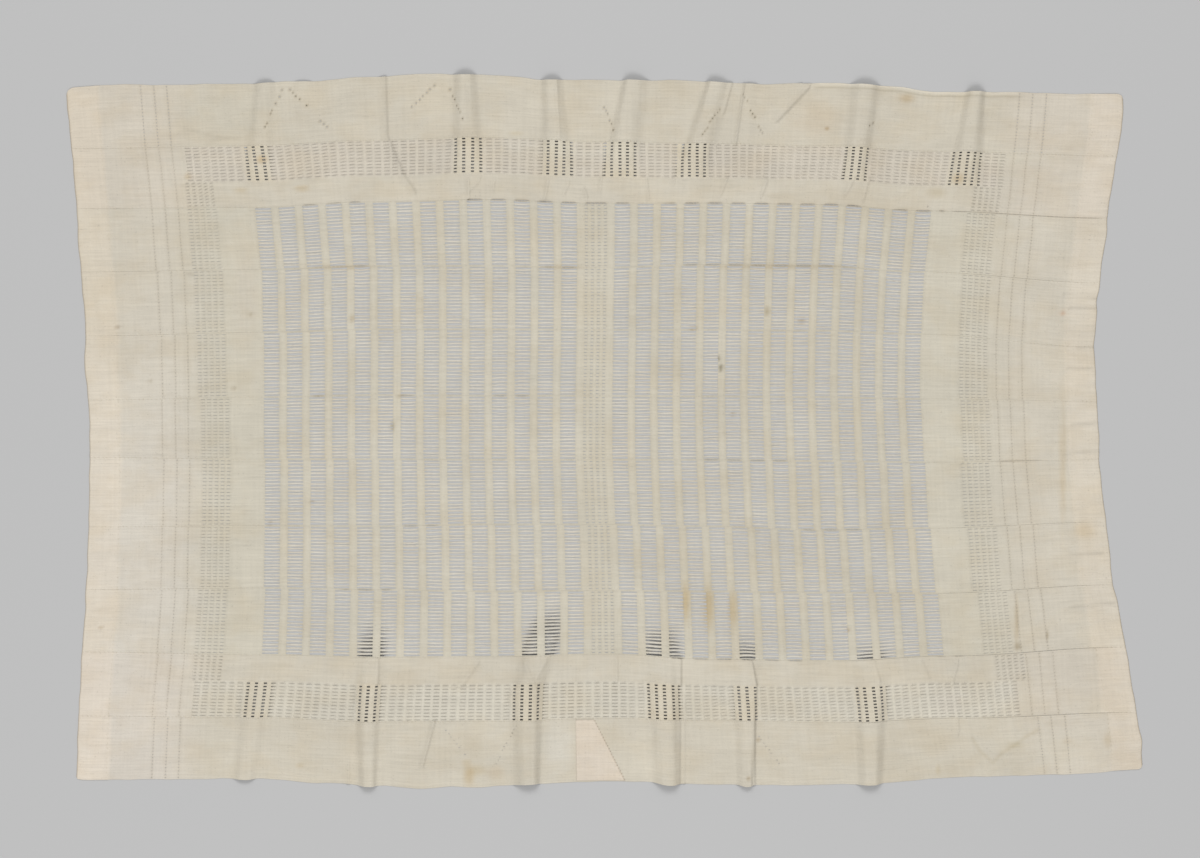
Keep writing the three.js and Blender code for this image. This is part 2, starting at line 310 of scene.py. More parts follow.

# Colours of the end lines, the openwork, the worn seams and the bands of eyelets, and painted shade around
# the small holes
LINE_TONE = (0.93, 0.92, 0.90)
LINE_SOFT = 2.1
LINE_FAINT = 0.25
LINE_FAINT_Y, LINE_FAINT_P, LINE_FAINT_START = 31, 400, 2
RUNG_TONE = (1.11, 1.12, 1.18)
FIELD_RIGHT = (0.975, 0.97, 0.96)
FIELD_HALF = 368.0
FIELD_EASE = 40
FIELD_FROM = -100
FIELD_GROW = 300
SEAM_SOIL_WIDE = 1.25
SEAM_SOIL_LEFT = (0.62, 0.57, 0.52)
EYELET_TONE = np.array([1.05, 1.035, 1.005])
BAND_TONES = {1: np.array([1.02, 1.01, 1.025]), 9: np.array([1.06, 1.075, 1.095])}
BAND_EASE = 10
DOT_SHADE_TONE = (0.86, 0.84, 0.80)

# A painted highlight on the far edge's lip and a painted shadow line below it
LIP_HIGHLIGHT_TONE = (1.14, 1.14, 1.14)
LIP_WIDE = 4.0
LIP_SHADOW_TONE = (0.84, 0.83, 0.80)
LIP_SHADOW_AT = 7.2
LIP_SHADOW_WIDE = 1.6
LIP_FROM = 335.0
LIP_TO = 690.0
LIP_EASE = 20

# Stains and bleached places: centre, half sizes along x and y, how much is left of red, green and blue
STAIN_STEEP = 1.5
STAINS = [
    (-562, 444, 9, 7, (0.90, 0.80, 0.66)),
    (-497, 397, 13, 5, (0.92, 0.85, 0.74)),
    (-597, 394, 12, 4, (0.95, 0.91, 0.84)),
    (-146, 487, 12, 4, (0.96, 0.93, 0.87)),
    (348, 511, 40, 25, (0.985, 0.955, 0.925)),
    (578, 412, 10, 9, (0.89, 0.82, 0.72)),
    (544, 390, 17, 8, (0.90, 0.87, 0.81)),
    (-684, 417, 6, 5, (0.93, 0.87, 0.78)),
    (-680, 257, 9, 2.5, (0.72, 0.70, 0.68)),
    (-799, 170, 4, 3, (0.78, 0.74, 0.70)),
    (-745, 80, 4, 3, (0.80, 0.77, 0.72)),
    (-581, 189, 4, 3, (0.78, 0.75, 0.70)),
    (-608, 70, 4, 3, (0.80, 0.77, 0.74)),
    (-827, -324, 4, 3, (0.80, 0.76, 0.70)),
    (-480, -117, 4, 3, (0.75, 0.72, 0.68)),
    (-549, -152, 5, 4, (0.75, 0.72, 0.68)),
    (-415, 184, 6, 6, (0.84, 0.78, 0.70)),
    (-349, 7, 4, 9, (0.70, 0.68, 0.62)),
    (190, 103, 4, 6, (0.50, 0.48, 0.42)),
    (187, 118, 3, 4, (0.60, 0.58, 0.52)),
    (266, 195, 5, 8, (0.74, 0.70, 0.62)),
    (322, 180, 7, 5, (0.76, 0.70, 0.62)),
    (144, 167, 7, 5, (0.80, 0.74, 0.66)),
    (210, 27, 4, 4, (0.76, 0.72, 0.66)),
    (-430, 268, 50, 4, (0.90, 0.86, 0.80)),
    (-70, 268, 35, 4, (0.90, 0.86, 0.80)),
    (280, 269, 130, 4, (0.90, 0.86, 0.80)),
    (-470, 57, 9, 3, (0.80, 0.76, 0.70)),
    (-336, 57, 6, 3, (0.80, 0.76, 0.70)),
    (364, 495, 4, 3, (0.76, 0.66, 0.54)),
    (495, 545, 13, 8, (0.88, 0.80, 0.69)),
    (133, -280, 6, 30, (0.95, 0.84, 0.66)),
    (169, -290, 9, 38, (0.88, 0.78, 0.62)),
    (209, -293, 9, 32, (0.88, 0.79, 0.65)),
    (-223, -567, 9, 16, (0.90, 0.82, 0.70)),
    (-211, -557, 17, 9, (0.93, 0.88, 0.79)),
    (-227, -545, 8, 7, (0.95, 0.91, 0.84)),
    (-179, -561, 15, 12, (0.95, 0.90, 0.84)),
    (-213, -521, 15, 14, (0.97, 0.96, 0.94)),
    (-75, -527, 27, 62, (1.07, 1.09, 1.13)),
    (72, -527, 30, 52, (1.06, 1.06, 1.06)),
    (-8, -393, 95, 24, (1.02, 1.035, 1.06)),
    (763, -521, 62, 42, (1.035, 1.045, 1.04)),
    (-615, 520, 75, 46, (0.972, 0.975, 0.965)),
    (-500, -549, 7, 4, (0.95, 0.91, 0.85)),
    (235, -570, 4, 4, (0.78, 0.72, 0.64)),
    (251, -508, 4, 4, (0.80, 0.74, 0.66)),
    (399, -327, 4, 4, (0.78, 0.72, 0.66)),
    (546, -557, 4, 8, (0.95, 0.92, 0.86)),
    (751, 193, 5, 4, (0.92, 0.76, 0.68)),
    (787, -163, 18, 14, (0.95, 0.90, 0.82)),
    (751, -56, 5, 105, (0.95, 0.90, 0.82)),
    (677, -354, 6, 6, (0.74, 0.70, 0.64)),
    (675, -315, 3.5, 45, (0.88, 0.83, 0.76)),
    (725, -336, 2.5, 9, (0.76, 0.72, 0.66)),
    (759, -509, 9, 6, (0.95, 0.92, 0.88)),
    (824, -509, 6, 13, (0.955, 0.915, 0.855)),
    (540, -507, 38, 26, (0.965, 0.94, 0.90)),
    (672, -516, 14, 6, (0.93, 0.91, 0.85)),
    (-30, 462, 150, 17, (1.04, 1.055, 1.065)),
    (672, 447, 62, 15, (1.045, 1.055, 1.05)),
    (82, -458, 28, 24, (1.05, 1.05, 1.055)),
    (-226, -440, 34, 18, (0.955, 0.955, 0.955)),
    (566, -447, 26, 20, (0.965, 0.955, 0.96)),
    (-116, -352, 20, 18, (1.06, 1.065, 1.06)),
    (84, -350, 20, 18, (1.05, 1.05, 1.05)),
    (42, -24, 26, 40, (1.045, 1.045, 1.05)),
    (240, -312, 26, 32, (0.96, 0.955, 0.945)),
    (800, -455, 30, 14, (1.03, 1.04, 1.04)),
    (-590, 225, 20, 80, (0.97, 0.96, 0.965)),
    (-460, -45, 60, 20, (1.035, 1.03, 1.025)),
]

# A tide mark left by water: the points it runs through, half width and what is left of the colour
TIDE_PATH = [(602, -504), (615, -526), (636, -544), (651, -529), (671, -517), (689, -503), (710, -491)]
TIDE_WIDE = 3.0
TIDE_LEFT = (0.93, 0.91, 0.87)

# Legs of the zigzags of small holes in the outer strips: strip, from x and y to x and y
ZIGZAG_LEGS = [
    (0, (-557, 498), (-526, 556)),
    (0, (-513, 560), (-458, 499)),
    (0, (-326, 526), (-284, 562)),
    (0, (-258, 556), (-237, 512)),
    (0, (-2, 532), (17, 487)),
    (0, (165, 485), (192, 528)),
    (0, (230, 552), (264, 487)),
    (0, (437, 496), (449, 513)),
    (10, (-182, -545), (-149, -482)),
    (10, (-262, -490), (-232, -530)),
    (10, (258, -500), (287, -548)),
]
ZIGZAG_STEP = 7.0
DOT_WIDE = 1.7
DOT_SIZES = (0.6, 1.3)
DOT_STRAY = 0.8
DOT_RAISED_SHARE = 0.5
DOT_SHARE = 0.8

# Where the cloth's ends and long edges stray out, or in below zero: the place, half length and how far
END_BULGES = [
    (0, 0, 900, 2.0),
    (0, 115, 45, 4.5),
    (0, 310, 20, 2.5),
    (0, -265, 25, 2.5),
    (STRIP_LONG, 505, 40, 4.0),
    (STRIP_LONG, 320, 24, 4.0),
    (STRIP_LONG, 215, 14, -3.0),
    (STRIP_LONG, -5, 45, 3.0),
    (STRIP_LONG, -285, 22, 3.0),
    (STRIP_LONG, -510, 18, 3.0),
]
END_BULGE_REACH = 60.0
EDGE_BULGES = [
    (0, -800, 60, 3.0),
    (0, -470, 35, -4.0),
    (0, -300, 45, 4.0),
    (0, -100, 40, -3.0),
    (0, 130, 45, 3.0),
    (0, 265, 40, -3.0),
    (0, 485, 40, 5.0),
    (0, 640, 90, 3.0),
    (STRIPS, -591, 18, 2.0),
    (STRIPS, -490, 25, 2.5),
    (STRIPS, -388, 22, 2.5),
    (STRIPS, -305, 40, 7.0),
    (STRIPS, -215, 35, 3.0),
    (STRIPS, 60, 40, -1.5),
    (STRIPS, 104, 18, 2.5),
    (STRIPS, 235, 10, 2.5),
    (STRIPS, 385, 40, -3.5),
    (STRIPS, 780, 60, 5.0),
]

# Corners of the whole cloth that are worn round: edge, end and radius
ROUND_CORNERS = [
    (0, 0, 13),
    (0, STRIP_LONG, 9),
    (STRIPS, 0, 5),
    (STRIPS, STRIP_LONG, 8),
]

# The patch: its corners, the gap below it, and its rim, which is turned under but thin at the very edge
PATCH_CORNERS = np.array([(-48, -474), (-18, -474), (33, -574), (-47, -574)], dtype=float)
PATCH_PARTS = 36
PATCH_CLEAR = 0.1
PATCH_TURN_HIGH = 0.2
PATCH_TURN_AT = 1.6
PATCH_TURN_WIDE = 1.4
PATCH_RIM_LOW = 0.15
PATCH_RIM_WIDE = 0.5

# Stitches in millimetres: their thread's shape, then those of the seams, the hems and the patch
THREAD = 0.32
THREAD_SIDES = 4
THREAD_SHARES = (0.0, 0.3, 0.7, 1.0)
THREAD_STOUT = (0.35, 1.0, 1.0, 0.35)
SEAM_STITCH_STEP = 7.0
SEAM_STITCH_FROM = 6
SEAM_STITCH_DRAWS = 240
SEAM_STITCH_REACH = (1.2, 1.8)
SEAM_STITCH_LEAN = (0.4, 1.4)
SEAM_STITCH_SUNK = 0.1
SEAM_STITCH_BULGE = 0.3
HEM_STITCH_STEP = 8.0
HEM_STITCH_IN = 4
HEM_STITCH_HALF = 1.5
HEM_STITCH_STRAY = 0.5
HEM_STITCH_SUNK = 0.12
HEM_STITCH_BULGE = 0.2
PATCH_STITCH_STEP = 5.0
PATCH_STITCH_OUT = 1.6
PATCH_STITCH_IN = 1.5
PATCH_STITCH_UP = 0.4
PATCH_STITCH_BULGE = 0.4

# Cotton: its finish, and the noise of its yarn, flecks, soil and relief, scaled along and across
COTTON_FINISH = {
    "Roughness": 0.93, "Specular IOR Level": 0.12, "Sheen Weight": 0.08, "Sheen Roughness": 0.6,
}
YARN_STREAKS = [(14, 420, 0.955, 1.04), (230, 9, 0.98, 1.02), (9, 11, 0.96, 1.03)]
YARN_FLECKS = [(230, 330, 0.995, 0.12), (24, 560, 0.93, 0.06)]
RELIEF_STREAKS = [(25, 500, -0.9, 0.9), (75, 120, -1.7, 1.7)]
SOIL_STREAKS = (13, 17, -0.35, 1.0)
SOIL_LEFT = (0.975, 0.95, 0.91)
STREAK_NOISE = {"Scale": 1.0, "Detail": 3.0, "Roughness": 0.6}
NOISE_LOW, NOISE_HIGH = 0.3, 0.7
WEAVE_SHARE = 0.6
BEND_NOISE = {"Scale": 45.0, "Detail": 2.0}
WEAVE_BEND = (0.006, 0.006, 0)
WEAVE_DEEP = 0.0003

# The floor, the light and the camera, in metres and watts
FLOOR_HALF = 12.0
FLOOR_Z = -0.00003
FLOOR_FINISH = {"Base Color": (0.44, 0.44, 0.44, 1), "Roughness": 0.9, "Specular IOR Level": 0.1}
SKY = {"Color": (1, 1, 1, 1), "Strength": 0.55}
LIGHT_X, LIGHT_Y, LIGHT_Z = -0.1, 3.6, 4.2
LIGHT_SIZE = (5.0, 2.0)
LIGHT_POWER = 150
CAMERA_X, CAMERA_Y = -0.0082, 0.0025
FRAME_WIDE = 1.968
LENS = 85.0
SENSOR = 36.0

# Kinds of shader nodes, the way up, a distance beyond everything, and the random draws
MATH = "ShaderNodeMath"
VECTOR_MATH = "ShaderNodeVectorMath"
UP = np.array([0, 0, 1.0])
FAR_OFF = 1e9
SEED = 12
random = np.random.default_rng(SEED)


def smoothstep(t):
    """Zero below 0, one above 1, and an eased rise between."""
    t = np.clip(t, 0, 1)
    return t * t * (3 - 2 * t)


def between(x, start, end, ease):
    """One between a start and an end, zero outside, and eased at both."""
    return smoothstep((x - start) / ease) * smoothstep((end - x) / ease)


def within(p, start, end, room):
    """Whether places lie between a start and an end, with some room outside."""
    return (p > start - room) & (p < end + room)


def hump(off, wide):
    """A soft hump that is one in its middle."""
    return np.exp(-(off / wide) ** 2)


def eased(places, values, p):
    """A value that eases from each place's own to the next."""
    values = np.asarray(values, dtype=float)
    k = np.clip(np.searchsorted(places, p, side="right") - 1, 0, len(places) - 2)
    t = smoothstep((p - places[k]) / (places[k + 1] - places[k]))
    return values[k] + (values[k + 1] - values[k]) * t


def waves(t, rows, turn=1, level=0):
    """Sine waves that are added to a level, with their starts multiplied by a turn."""
    return sum((high * np.sin(t / long + turn * start) for high, long, start in rows), level)


def uneven(t):
    """A small wave with no plain repeat, for edges that aren't quite straight."""
    return waves(t, UNEVEN_WAVES)


def end_distance(p):
    """How far a place along a strip is from the nearer end."""
    return np.minimum(p, STRIP_LONG - p)


def seam_x(seam, p):
    """x of a seam at a place along it."""
    return np.interp(p, X_PLACES, SEAM_X[seam])


def seam_y(seam, p):
    """y of a seam at a place along it."""
    return eased(Y_PLACES, SEAM_Y[seam], p)


def strip_y(strip, p, v):
    """y of a strip at a share of the way from its far to its near seam."""
    return seam_y(strip, p) * (1 - v) + seam_y(strip + 1, p) * v


def middle_knots(strip):
    """x along the middle of a strip, at the listed places."""
    return (np.array(SEAM_X[strip]) + np.array(SEAM_X[strip + 1])) / 2


def woven_place(strip, x):
    """About where along its strip a point lies."""
    return np.interp(x, middle_knots(strip), X_PLACES)


def slip(seam, p):
    """Half of the step along a seam between the weaves on its two sides."""
    if seam not in SLIPS:
        return np.zeros_like(p)
    return np.interp(p, SLIP_PLACES, SLIPS[seam])


def seam_wear(seam, x_from, x_to, p, x):
    """How far a seam has worn open between two x, from 0 to 1: in the middle most over the windows."""
    from_window = end_distance(p) - END_PLAIN - WINDOW_WIDE / 2
    over_window = smoothstep(WEAR_OVER_WINDOWS + np.cos(2 * math.pi * from_window / WINDOW_PITCH))
    over_window = np.where(from_window < -WINDOW_WIDE, 1, over_window)
    inside = between(x, x_from, x_to, WEAR_EASE)
    broken = smoothstep(waves(x, WEAR_WAVES, seam, WEAR_LEVEL))
    return inside * broken * over_window


def seam_opening(seam, p, x):
    """Half of the gap at a seam, in millimetres."""
    if seam in (0, STRIPS):
        return np.zeros_like(x)
    half = np.full_like(x, SEAM_GAP / 2)
    for worn, x_from, x_to, wide, _ in OPEN_SEAMS:
        if worn == seam:
            half = np.maximum(half, wide / 2 * seam_wear(seam, x_from, x_to, p, x))
    return half


def edge_change(seam, p):
    """How far a long edge of the cloth strays inwards: uneven all along and round at worn corners."""
    if seam not in (0, STRIPS):
        return np.zeros_like(p)
    x = seam_x(seam, p)
    inward = EDGE_STRAY * uneven(p + EDGE_SHIFT * seam) + EDGE_IN
    for edge, at, wide, out in EDGE_BULGES:
        if edge == seam:
            inward = inward - out * hump(x - at, wide)
    for edge, end, radius in ROUND_CORNERS:
        if edge == seam:
            gap = np.clip(1 - np.abs(p - end) / radius, 0, 1)
            inward = inward + radius * (1 - np.sqrt(1 - gap ** 2))
    return inward


def path_offset(path, x, y):
    """The distance of each point from a line of straight pieces, below zero on the line's right."""
    nearest = np.full(np.shape(x), FAR_OFF)
    for (x0, y0), (x1, y1) in zip(path[:-1], path[1:]):
        dx, dy = x1 - x0, y1 - y0
        t = np.clip(((x - x0) * dx + (y - y0) * dy) / (dx * dx + dy * dy), 0, 1)
        far = np.hypot(x - x0 - t * dx, y - y0 - t * dy)
        side = np.where(dx * (y - y0) - dy * (x - x0) < 0, -1, 1)
        nearest = np.where(far < np.abs(nearest), far * side, nearest)
    return nearest


def flute_height(flutes, x, inward):
    """The height of one long edge's flutes at x, at a distance inward from that edge."""
    height = np.zeros_like(x)
    for at, half_way, inner, reach, left, right, spread, rise in flutes:
        share = np.clip(inward / reach, 0, 1)
        off = x - np.interp(share, [0, 0.5, 1], [at, half_way, inner])
        even = (left + right) / 2 + spread
        side = np.where(off < 0, left, right)
        across = np.abs(off) / (side + (even - side) * share)
        down = np.clip((across - FLUTE_TOP) / (1 - FLUTE_TOP), 0, 1)
        fade = 1 - smoothstep((share - FLUTE_FLAT) / (1 - FLUTE_FLAT))
        height += rise * fade * (0.5 + 0.5 * np.cos(math.pi * down))
    return height


def flutes_at(p, x, y):
    """The height of the flutes of both long edges."""
    far_height = flute_height(FLUTES_FAR, x, seam_y(0, p) - y)
    return far_height + flute_height(FLUTES_NEAR, x, y - seam_y(STRIPS, p))


def crease_height(x, y):
    """The height of the narrow creases, which are steep on their left and lean out on their right."""
    height = np.zeros_like(x)
    for path, wide, high, _ in CREASES:
        off = path_offset(path, x, y)
        slope = wide * np.where(off < 0, CREASE_LEAN, CREASE_STEEP)
        height += high * hump(off, slope)
    return height


def swell(x, y):
    """Slow waves of the cloth as it lies, never below the floor."""
    along = np.sin(x / SWELL_LONG_X + SWELL_SWAY_X * np.sin(y / SWELL_BEND_Y))
    across = np.sin(y / SWELL_LONG_Y + SWELL_SWAY_Y * np.sin(x / SWELL_BEND_X))
    ripple = RIPPLE_SHARE * np.sin(x / RIPPLE_LONG_X + y / RIPPLE_SLANT_Y)
    ripple *= np.sin(y / RIPPLE_LONG_Y - x / RIPPLE_SLANT_X)
    return SWELL_HIGH * (SWELL_LEVEL + (along * across + ripple))


def lift(p, x, y):
    """How high the cloth's underside is above the floor."""
    return flutes_at(p, x, y) + crease_height(x, y) + swell(x, y)


def top_of(p, x, y):
    """The height of the cloth's upper face."""
    return lift(p, x, y) + PLAIN_THICK


def raised(strip, p):
    """How far a strip's middle is lifted by flutes: zero where it lies flat, one where it is well clear."""
    x = np.interp(p, X_PLACES, middle_knots(strip))
    return smoothstep(flutes_at(p, x, strip_y(strip, p, 0.5)) / RAISED_FULL)


def weave_x(strip, p, v):
    """x of a strip's grid, with the weave spread evenly over the rise and fall of the flutes."""
    x = np.empty((len(v), len(p)))
    far = np.array(SEAM_X[strip], dtype=float)
    near = np.array(SEAM_X[strip + 1], dtype=float)
    steps = np.linspace(0, 1, RUN_STEPS)
    for j, share in enumerate(v):
        knots = far + (near - far) * share
        for k, start in enumerate(X_PLACES[:-1]):
            span = X_PLACES[k + 1] - start
            inside = (p >= start) & (p <= X_PLACES[k + 1])
            fine_x = knots[k] + (knots[k + 1] - knots[k]) * steps
            fine_p = start + span * steps
            fine_z = flutes_at(fine_p, fine_x, strip_y(strip, fine_p, share))
            run = np.concatenate([[0], np.cumsum(np.hypot(np.diff(fine_x), np.diff(fine_z)))])
            x[j, inside] = np.interp((p[inside] - start) / span, run / run[-1], fine_x)
    return x


def place(strip, p, v, wander):
    """x, y of a strip's grid: p along it, v across it from the far edge, and threads that wander across."""
    x = weave_x(strip, p, v)
    v = v[:, None]
    x += slip(strip, p) * (1 - v) - slip(strip + 1, p) * v
    far_y = seam_y(strip, p) - seam_opening(strip, p, x[0]) - edge_change(strip, p)
    near_y = seam_y(strip + 1, p) + seam_opening(strip + 1, p, x[-1]) + edge_change(strip + 1, p)
    y = far_y * (1 - v) + near_y * v + wander
    at_ends = np.exp(-p / END_STRAY_REACH) - np.exp((p - STRIP_LONG) / END_STRAY_REACH)
    x += END_STRAY * (END_IN + uneven(y)) * at_ends
    for end, at, wide, out in END_BULGES:
        outward = -1 if end == 0 else 1
        near_end = np.exp(-np.abs(p - end) / END_BULGE_REACH)
        x += outward * out * near_end * hump(y - at, wide)
    return x, y


def mesh_piece(name, points, quads, uv, tone, material, smooth=None):
    """A mesh in metres from arrays in millimetres, with cloth coordinates and a colour for each point."""
    mesh = bpy.data.meshes.new(name)
    mesh.vertices.add(len(points))
    mesh.vertices.foreach_set("co", (points * MM).astype(np.float32).ravel())
    mesh.loops.add(quads.size)
    mesh.loops.foreach_set("vertex_index", quads.astype(np.int32).ravel())
    mesh.polygons.add(len(quads))
    mesh.polygons.foreach_set("loop_start", np.arange(0, quads.size, 4, dtype=np.int32))
    smooth = np.ones(len(quads), dtype=bool) if smooth is None else smooth
    mesh.polygons.foreach_set("use_smooth", smooth)
    mesh.update(calc_edges=True)
    layer = mesh.uv_layers.new(name="weave")
    layer.data.foreach_set("uv", (uv * MM)[quads.ravel()].astype(np.float32).ravel())
    colour = mesh.color_attributes.new("tone", "FLOAT_COLOR", "POINT")
    rgba = np.concatenate([tone, np.ones((len(tone), 1))], axis=1)
    colour.data.foreach_set("color", rgba.astype(np.float32).ravel())
    mesh.materials.append(material)
    piece = bpy.data.objects.new(name, mesh)
    bpy.context.scene.collection.objects.link(piece)
    return piece


def closed_sheet(solid, x, y, low, high):
    """A closed sheet over a grid's solid cells: points, quads, each point's grid point, smooth quads."""
    rows, columns = x.shape
    grid = np.arange(rows * columns).reshape(rows, columns)
    a, b = grid[:-1, :-1], grid[:-1, 1:]
    c, d = grid[1:, 1:], grid[1:, :-1]
    offset = rows * columns
    top = np.stack([d, c, b, a], axis=-1)[solid]
    bottom = np.stack([a, b, c, d], axis=-1)[solid] + offset
    padded = np.pad(solid, 1)
    walls = []
    for open_side, start, end in (
        (~padded[:-2, 1:-1], a, b),
        (~padded[2:, 1:-1], c, d),
        (~padded[1:-1, :-2], d, a),
        (~padded[1:-1, 2:], b, c),
    ):
        edge = solid & open_side
        walls.append(np.stack([start[edge], end[edge], end[edge] + offset, start[edge] + offset], axis=-1))
    quads = np.concatenate([top, bottom] + walls)
    smooth = np.arange(len(quads)) < len(top) + len(bottom)
    used, quads = np.unique(quads, return_inverse=True)
    quads = quads.reshape(-1, 4)
    flat = used % offset
    z = np.where(used < offset, high.ravel()[flat], low.ravel()[flat])
    points = np.stack([x.ravel()[flat], y.ravel()[flat], z], axis=-1)
    return points, quads, flat, smooth


def tint(tone, share, colour):
    """Multiply a tone by a share of a colour."""
    tone *= 1 + share[..., None] * (np.asarray(colour) - 1)


def tone_at(p, x, y):
    """The colour at each point from hems, end lines, stains and worn seams, with painted shadow at the end
    folds, along creases and below the far lip, and a painted highlight on that lip.
    """
    tone = np.ones(x.shape + (3,))
    from_end = end_distance(p)
    on_left = np.where(p < MIDDLE, 1.0, 0.0)[..., None]
    near_share = smoothstep((OUTER_LEFT_FROM - y) / (OUTER_LEFT_FROM - OUTER_LEFT_TO))[..., None]
    outer_left = OUTER_LEFT_FAR + (OUTER_LEFT_NEAR - OUTER_LEFT_FAR) * near_share
    outer_tone = on_left * outer_left + (1 - on_left) * OUTER_RIGHT
    tint(tone, smoothstep((OUTER_ZONE - from_end) / OUTER_EASE), outer_tone)
    hem = smoothstep((HEM_WIDE + HEM_TONE_PAST + uneven(y) - from_end) / HEM_TONE_EASE)
    tint(tone, hem, on_left * HEM_LEFT + (1 - on_left) * HEM_RIGHT)
    # A painted dark shadow line along the fold at each end
    tint(tone, hump(from_end, FOLD_WIDE), FOLD_SHADOW_TONE)
    for k, place_in in enumerate(LINE_PLACES):
        faint = np.sin(y / LINE_FAINT_Y + LINE_FAINT_START * k + p / LINE_FAINT_P)
        faint = 1 - LINE_FAINT + LINE_FAINT * faint
        tint(tone, hump(from_end - place_in, LINE_SOFT) * faint, LINE_TONE)
    field = smoothstep((from_end - END_PLAIN) / FIELD_EASE) * smoothstep((x - FIELD_FROM) / FIELD_GROW)
    tint(tone, field * (np.abs(y) < FIELD_HALF), FIELD_RIGHT)
    # A painted highlight along the far edge's lip, with a painted shadow line below it
    below = seam_y(0, p) - edge_change(0, p) - y
    lip = between(x, LIP_FROM, LIP_TO, LIP_EASE)
    tint(tone, lip * hump(below, LIP_WIDE), LIP_HIGHLIGHT_TONE)
    tint(tone, lip * hump(below - LIP_SHADOW_AT, LIP_SHADOW_WIDE), LIP_SHADOW_TONE)
    # Painted shade along the steep side of each crease that has a shade value
    for path, wide, _, shade in CREASES:
        if shade:
            off = path_offset(path, x, y) - wide * CREASE_STEEP / 2
            tint(tone, shade * hump(off, wide * CREASE_SHADE_SHARE), 0)
    for at_x, at_y, wide, high, left in STAINS:
        reach = ((x - at_x) / wide) ** 2 + ((y - at_y) / high) ** 2
        tint(tone, np.exp(-reach ** STAIN_STEEP), left)
    for seam, x_from, x_to, _, soil in OPEN_SEAMS:
        beside = hump(y - seam_y(seam, p), SEAM_SOIL_WIDE) * seam_wear(seam, x_from, x_to, p, x)
        tint(tone, soil * beside, SEAM_SOIL_LEFT)
    tint(tone, hump(path_offset(TIDE_PATH, x, y), TIDE_WIDE), TIDE_LEFT)
    return tone


def row_lines():
    """The lines across a strip: its selvedges and both sides of each row of slots."""
    margin = (STRIP_WIDE - SLOT_ROWS * SLOT_PITCH + SLOT_PITCH - SLOT_HIGH) / 2
    lines = [0.0, SELVEDGE]
    for k in range(SLOT_ROWS):
        lines += [margin + k * SLOT_PITCH, margin + k * SLOT_PITCH + SLOT_HIGH]
    return np.array(lines + [STRIP_WIDE - SELVEDGE, STRIP_WIDE]) / STRIP_WIDE


def wandering(p, pinch, loose):
    """How far each line across a strip strays, by uneven threads and by slots pinched to eyelets."""
    knots = np.arange(0, STRIP_LONG + WINDOW_PITCH, WINDOW_PITCH / 2)
    stray = np.zeros((LINES_ACROSS, len(p)))
    for k in range(SLOT_ROWS - 1):
        middle = np.clip(random.normal(0, THREAD_STRAY, len(knots)), -THREAD_STRAY_MOST, THREAD_STRAY_MOST)
        half = random.uniform(-THREAD_UNEVEN, THREAD_UNEVEN, len(knots))
        thread = FIRST_SLOT + 1 + 2 * k
        stray[thread] = loose * np.interp(p, knots, middle + half)
        stray[thread + 1] = loose * np.interp(p, knots, middle - half)
    stray[FIRST_SLOT:-FIRST_SLOT:2] -= pinch
    stray[FIRST_SLOT + 1:-FIRST_SLOT:2] += pinch
    return stray


def opening(middle, wide, rows):
    """An opening's start and end along the strip, its first row of slots and the row after its last."""
    return (middle - wide / 2, middle + wide / 2, *rows)


def end_columns(strip, rows):
    """The openings of both ends' lines, and of both ends' bands of eyelets in some rows."""
    columns = []
    for place_in in LINE_PLACES:
        for middle in (place_in, STRIP_LONG - place_in):
            columns.append(opening(middle, LINE_WIDE, ALL_ROWS))
    left_middle = END_BAND_MIDDLE + LEFT_BAND_SHIFTS.get(strip, 0)
    right_middle = STRIP_LONG - END_BAND_MIDDLE + RIGHT_BAND_SHIFTS.get(strip, 0)
    for k in range(END_EYELETS):
        off = (k - (END_EYELETS - 1) / 2) * END_EYELET_PITCH
        for middle in (left_middle + off, right_middle + off):
            columns.append(opening(middle, END_EYELET_WIDE, rows))
    return columns


def window_columns():
    """The openings of the windows and of the eyelets in the middle of an openwork strip."""
    columns = []
    for k in range(WINDOWS_A_SIDE):
        start = END_PLAIN + k * WINDOW_PITCH
        columns.append((start, start + WINDOW_WIDE, *ALL_ROWS))
        columns.append((STRIP_LONG - start - WINDOW_WIDE, STRIP_LONG - start, *ALL_ROWS))
    for k in range(CENTRE_EYELETS):
        middle = MIDDLE + (k - (CENTRE_EYELETS - 1) / 2) * CENTRE_EYELET_PITCH
        columns.append(opening(middle, CENTRE_EYELET_WIDE, ALL_ROWS))
    return columns


def eyelet_columns(strip):
    """The openings of a long band of eyelets, which are wider where the cloth lies flat."""
    columns = []
    left_side = EYELETS_FROM
    while left_side < STRIP_LONG - EYELETS_FROM:
        pitch = np.interp(left_side, EYELET_PITCH_AT, EYELET_PITCHES[strip])
        middle = left_side + pitch / 2 + random.uniform(-EYELET_STRAY, EYELET_STRAY)
        up = raised(strip, np.array([middle]))[0]
        half = pitch / 2 * (EYELET_FLAT_SHARE + (EYELET_RAISED_SHARE - EYELET_FLAT_SHARE) * up)
        columns.append((middle - half, middle + half, *EYELET_BANDS[strip]))
        left_side += pitch
    return columns


